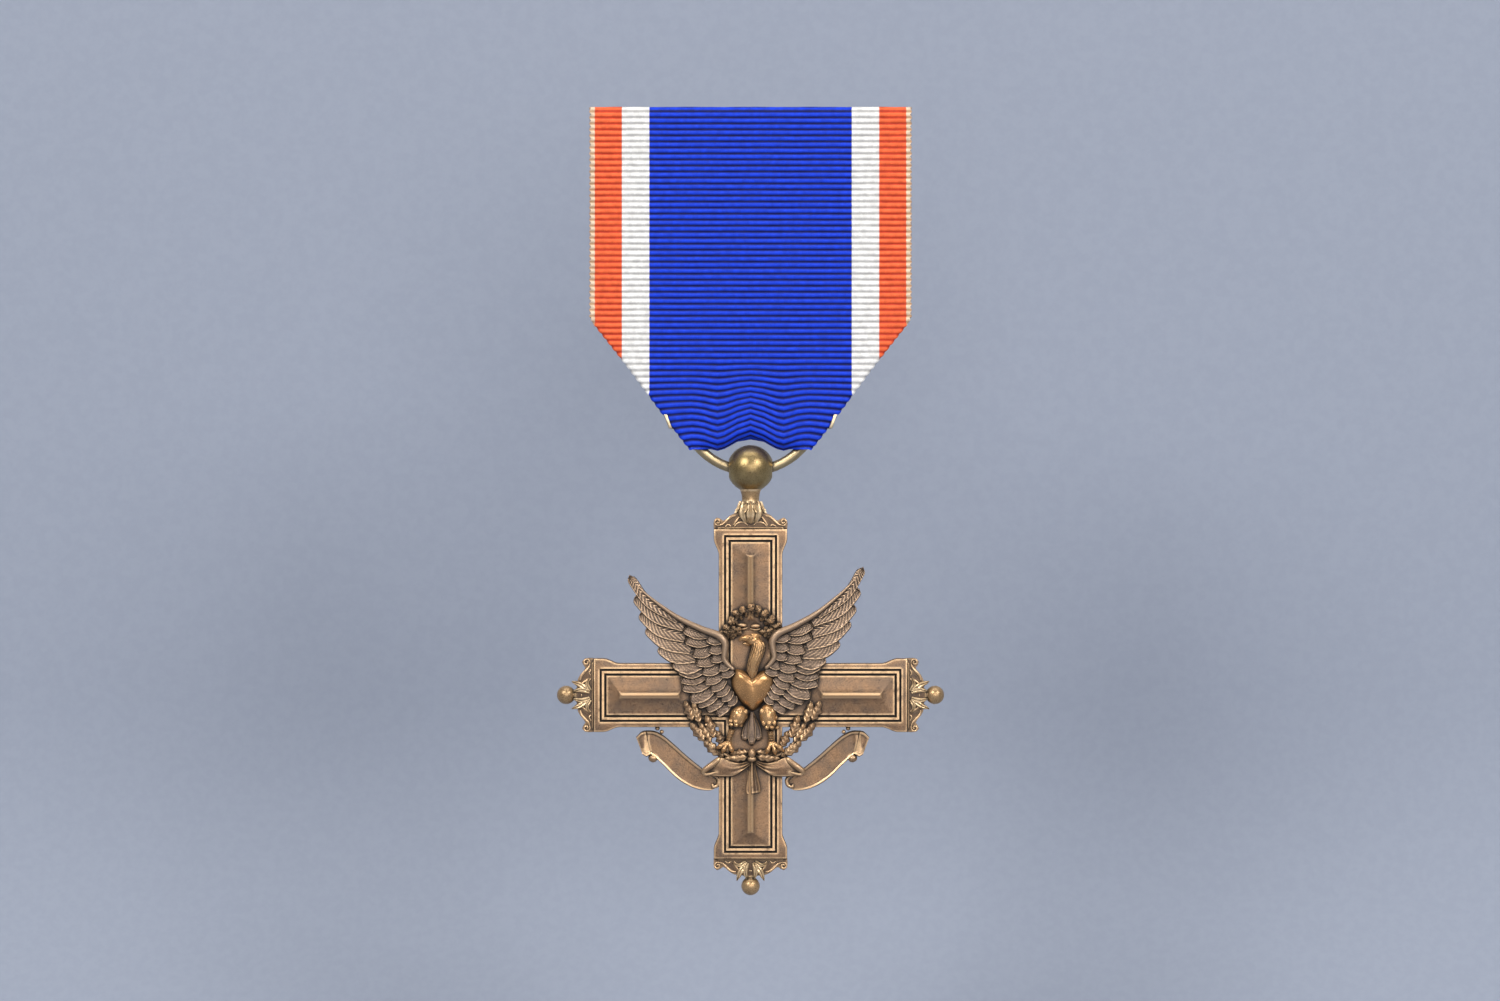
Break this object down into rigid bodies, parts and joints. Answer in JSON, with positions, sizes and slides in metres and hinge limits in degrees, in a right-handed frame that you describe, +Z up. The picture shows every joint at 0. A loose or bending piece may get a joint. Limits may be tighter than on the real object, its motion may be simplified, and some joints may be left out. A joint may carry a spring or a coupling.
{
  "type": "medal",
  "caption": "Bronze bravery cross with a spread-winged eagle, hung by a ball and ring from a folded striped silk ribbon on a pin-back brooch.",
  "frame": {"origin": "middle of the brooch pin's axis, behind the top of the ribbon", "axes": "+Z up along the hanging medal, +X along the brooch pin towards its point, +Y out of the back towards the wearer; the face looks along -Y"},
  "size_m": [0.044, 0.0058, 0.0894],
  "materials": {
    "ribbon_silk": "ribbed silk, blue centre with white and red edges",
    "sewing_thread": "matt thread",
    "struck_bronze": "dark toned bronze with worn bright ridges",
    "ring_brass": "aged brass, satin",
    "brooch_steel": "nickelled, brushed"
  },
  "bodies": {
    "brooch": {"brooch_plate": "brooch_steel", "hinge_bracket": "brooch_steel", "hinge_rivet": "brooch_steel", "catch_base": "brooch_steel", "ribbon_front": "ribbon_silk", "ribbon_turnover": "ribbon_silk", "ribbon_rear": "ribbon_silk", "seam_stitches": "sewing_thread"},
    "pin": {"pin_stem": "brooch_steel"},
    "lock": {"catch_lock": "brooch_steel"},
    "drop": {"ribbon_lower_front": "ribbon_silk", "ribbon_loop": "ribbon_silk", "ribbon_lower_rear": "ribbon_silk", "fold_flap_left": "ribbon_silk", "fold_flap_right": "ribbon_silk", "tack_stitches": "sewing_thread", "fold_clasp": "ring_brass"},
    "ring": {"suspension_ring": "ring_brass"},
    "cross": {"suspension_ball": "ring_brass", "suspension_stem": "ring_brass", "cross_plate": "struck_bronze", "back_tablet": "struck_bronze", "crest_top": "struck_bronze", "crest_left": "struck_bronze", "crest_right": "struck_bronze", "crest_bottom": "struck_bronze", "finial_left": "struck_bronze", "finial_right": "struck_bronze", "finial_bottom": "struck_bronze", "eagle_body": "struck_bronze", "eagle_head": "struck_bronze", "wing_left": "struck_bronze", "wing_right": "struck_bronze", "leg_left": "struck_bronze", "leg_right": "struck_bronze", "tail": "struck_bronze", "leaf_crown": "struck_bronze", "laurel_wreath": "struck_bronze", "bow": "struck_bronze", "scroll_left": "struck_bronze", "scroll_right": "struck_bronze"}
  },
  "joints": [
    {"name": "pin_swing", "type": "hinge", "parent": "brooch", "child": "pin", "pos_m": [-0.013, 0, 0], "axis": [0, 0, 1], "range_deg": [0, 100]},
    {"name": "lock_turn", "type": "hinge", "parent": "brooch", "child": "lock", "pos_m": [0.012, 0, 0], "axis": [1, 0, 0], "range_deg": [0, 100]},
    {"name": "ribbon_bend", "type": "hinge", "parent": "brooch", "child": "drop", "pos_m": [0, -0.00165, -0.0176], "axis": [-1, 0, 0], "range_deg": [-20, 45]},
    {"name": "ring_slip", "type": "slide", "parent": "drop", "child": "ring", "axis": [0, 0, -1], "range_m": [0, 0.0092]},
    {"name": "cross_swing", "type": "hinge", "parent": "ring", "child": "cross", "pos_m": [0, -0.00165, -0.03597], "axis": [-1, 0, 0], "range_deg": [-80, 90]}
  ]
}
